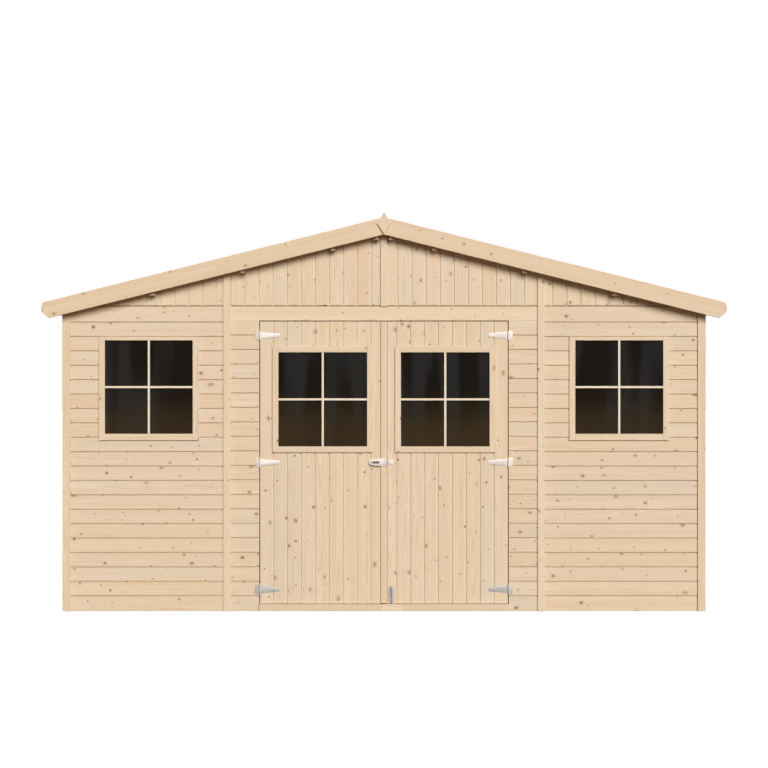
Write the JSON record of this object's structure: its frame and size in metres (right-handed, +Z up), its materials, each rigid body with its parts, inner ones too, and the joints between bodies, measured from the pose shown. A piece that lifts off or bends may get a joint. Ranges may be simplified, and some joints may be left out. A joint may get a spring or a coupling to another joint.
{
  "type": "garden shed",
  "caption": "Walk-in timber garden shed with a shallow apex roof, double doors that open outwards, glazed windows in doors and front wall, and a boarded floor.",
  "frame": {"origin": "centre of the shed's plan at ground level, under the ridge", "axes": "+X to the right seen from the front, -Y towards the viewer on the door side, +Z up"},
  "size_m": [4.16, 3.208, 2.4312],
  "materials": {
    "board_timber": "planed, untreated spruce boards",
    "trim_timber": "planed, untreated spruce trim",
    "frame_timber": "sawn spruce",
    "roof_timber": "planed spruce",
    "floor_timber": "planed spruce",
    "roofing_felt": "mineral surfaced, matt",
    "galvanised_steel": "bright zinc",
    "window_glass": "clear, smooth"
  },
  "bodies": {
    "root": {"floor_bearers": "floor_timber", "floor_boards": "floor_timber", "front_wall_left": "board_timber", "front_wall_right": "board_timber", "front_wall_beside_door": "board_timber", "door_header": "trim_timber", "front_gable": "board_timber", "back_wall": "board_timber", "back_gable": "board_timber", "left_wall": "board_timber", "right_wall": "board_timber", "front_rails": "frame_timber", "front_studs": "frame_timber", "back_rails": "frame_timber", "back_studs": "frame_timber", "side_rails": "frame_timber", "side_studs": "frame_timber", "corner_trims": "trim_timber", "front_cover_battens": "trim_timber", "back_cover_battens": "trim_timber", "side_cover_battens": "trim_timber", "gable_battens": "trim_timber", "window_frame_left": "trim_timber", "window_frame_right": "trim_timber", "window_glass_left": "window_glass", "window_glass_right": "window_glass", "threshold": "trim_timber", "bolt_keeper": "galvanised_steel", "hinge_plates": "galvanised_steel", "ridge_purlins": "roof_timber", "roof_purlins": "roof_timber", "roof_left": "roof_timber", "roof_right": "roof_timber", "roof_felt": "roofing_felt", "eave_battens": "roof_timber", "barge_boards_left": "trim_timber", "barge_boards_right": "trim_timber", "finials": "trim_timber"},
    "door_left": {"door_left_leaf": "board_timber", "door_left_ledges": "frame_timber", "door_left_brace": "frame_timber", "door_left_window_frame": "trim_timber", "door_left_glass": "window_glass", "door_left_hinge_straps": "galvanised_steel", "door_cover_strip": "trim_timber", "hasp_strap": "galvanised_steel"},
    "door_right": {"door_right_leaf": "board_timber", "door_right_ledges": "frame_timber", "door_right_brace": "frame_timber", "door_right_window_frame": "trim_timber", "door_right_glass": "window_glass", "door_right_hinge_straps": "galvanised_steel", "hasp_plate": "galvanised_steel", "bolt_guide": "galvanised_steel"},
    "drop_bolt": {"bolt_rod": "galvanised_steel"}
  },
  "joints": [
    {"name": "left_door_hinge", "type": "hinge", "parent": "root", "child": "door_left", "pos_m": [-0.7595, -1.5065, 0.9105], "axis": [0, 0, -1], "range_deg": [0, 165]},
    {"name": "right_door_hinge", "type": "hinge", "parent": "root", "child": "door_right", "pos_m": [0.7595, -1.5065, 0.9105], "axis": [0, 0, 1], "range_deg": [0, 165]},
    {"name": "drop_bolt_slide", "type": "slide", "parent": "door_right", "child": "drop_bolt", "axis": [0, 0, -1], "range_m": [0, 0.03]}
  ]
}
